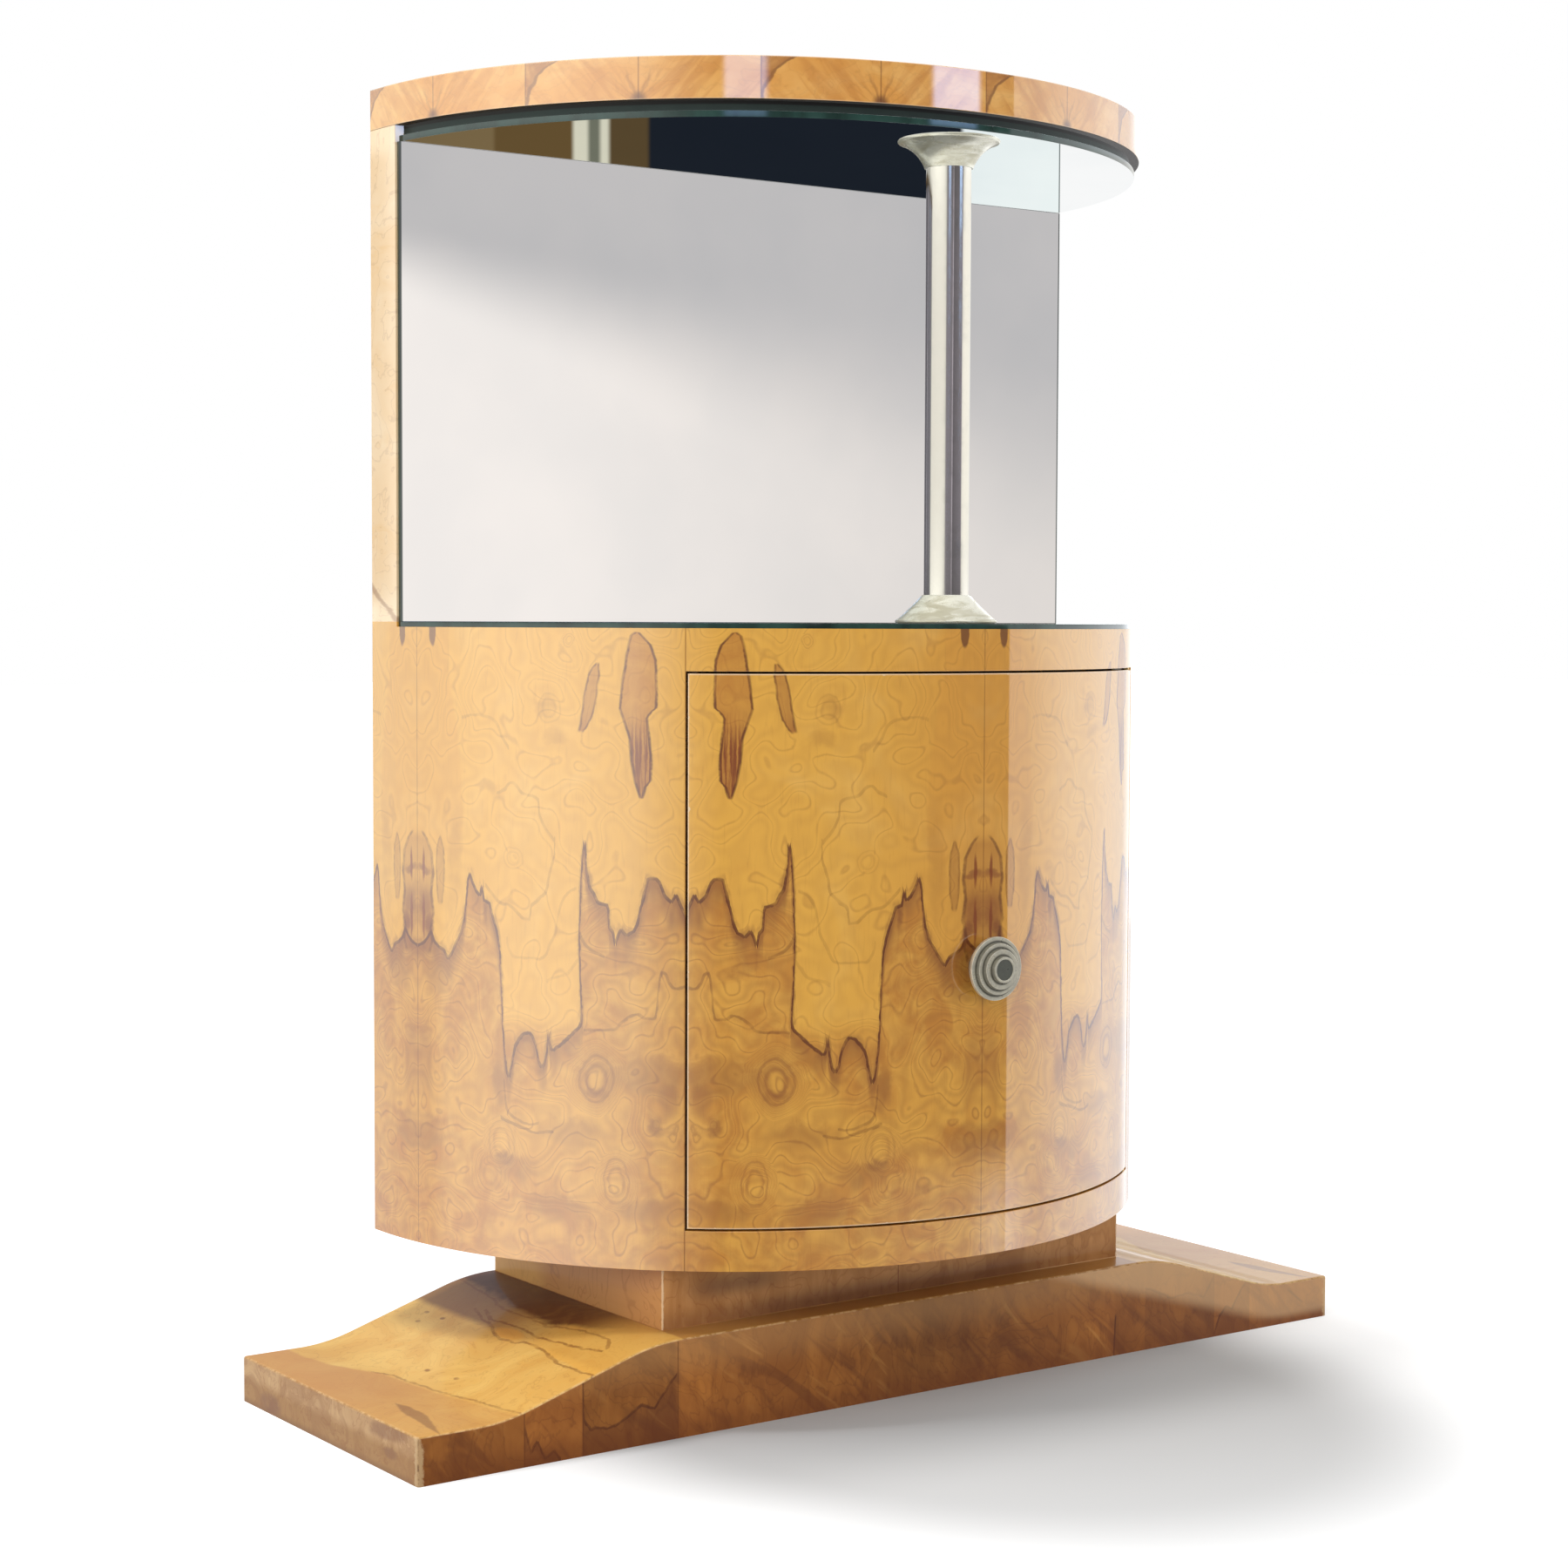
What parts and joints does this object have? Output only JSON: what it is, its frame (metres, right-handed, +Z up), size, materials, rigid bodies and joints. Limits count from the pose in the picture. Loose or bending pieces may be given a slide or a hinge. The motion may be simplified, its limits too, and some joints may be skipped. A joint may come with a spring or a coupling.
{
  "type": "bar cabinet",
  "caption": "Half-round veneered bar cabinet on an ogee plinth, with a curved hinged door, glass counter, mirrored back and a metal column that carries the top slab.",
  "frame": {"origin": "on the floor, at the middle of the whole cabinet's width and depth", "axes": "+Z up, -Y towards the door and the user, +X to the right of someone facing the door"},
  "size_m": [1.146, 0.4824, 1.2965],
  "materials": {
    "veneer": "figured veneer, gloss lacquer",
    "slab_veneer": "figured veneer, gloss lacquer",
    "inner_wood": "satin lacquer",
    "plywood": "raw, aged",
    "rough_wood": "raw",
    "black_glass": "polished",
    "silvered_glass": "silvered",
    "nickel": "polished nickel",
    "pewter": "aged",
    "brass": "satin",
    "steel": "plain"
  },
  "bodies": {
    "cabinet": {"back_board": "plywood", "back_board_screws": "steel", "back_mirror": "silvered_glass", "back_muntin": "rough_wood", "back_rail_lower": "rough_wood", "back_rail_upper": "rough_wood", "catch_strike": "brass", "catch_strike_screws": "brass", "column_flange_lower": "nickel", "column_flange_upper": "nickel", "column_insert": "brass", "column_nut": "steel", "column_rod": "steel", "column_tube": "nickel", "column_washer": "steel", "counter_glass": "black_glass", "door_stop": "inner_wood", "floor_board": "inner_wood", "head_rail": "veneer", "hinge_case_leaf_lower": "brass", "hinge_case_leaf_upper": "brass", "hinge_case_screws": "brass", "hinge_spacers": "brass", "mirror_backing": "plywood", "plinth_back_rail": "veneer", "plinth_end_left": "veneer", "plinth_end_right": "veneer", "plinth_front_rail": "veneer", "plinth_ribs": "rough_wood", "plinth_top_skin": "veneer", "riser_back": "veneer", "riser_corner_blocks": "rough_wood", "riser_front": "veneer", "riser_left": "veneer", "riser_right": "veneer", "riser_screws": "steel", "shelf": "inner_wood", "shelf_pegs": "brass", "side_shell_left": "veneer", "side_shell_right": "veneer", "sill_rail": "veneer", "slab_backing": "inner_wood", "slab_core": "slab_veneer", "slab_dowels": "rough_wood", "slab_lipping": "veneer", "stile_left": "veneer", "stile_right": "veneer", "top_board": "inner_wood", "underside_mirror": "silvered_glass"},
    "door": {"door_panel": "veneer", "knob": "pewter", "knob_rose": "pewter", "knob_screw": "steel", "hinge_door_leaf_upper": "brass", "hinge_door_leaf_lower": "brass", "hinge_door_screws": "brass", "catch_case": "brass", "catch_spring": "steel"},
    "catch_ball": {"catch_ball": "steel"}
  },
  "joints": [
    {"name": "door_hinge", "type": "hinge", "parent": "cabinet", "child": "door", "pos_m": [0.27186, -0.10753, 0.45975], "axis": [0, 0, 1], "range_deg": [0, 100]},
    {"name": "catch_ball_slide", "type": "slide", "parent": "door", "child": "catch_ball", "axis": [0.7612, -0.6486, 0], "range_m": [0, 0.0028], "stiffness_N_per_m": 600, "springref_m": -0.002, "deforming": ["catch_spring"]}
  ]
}
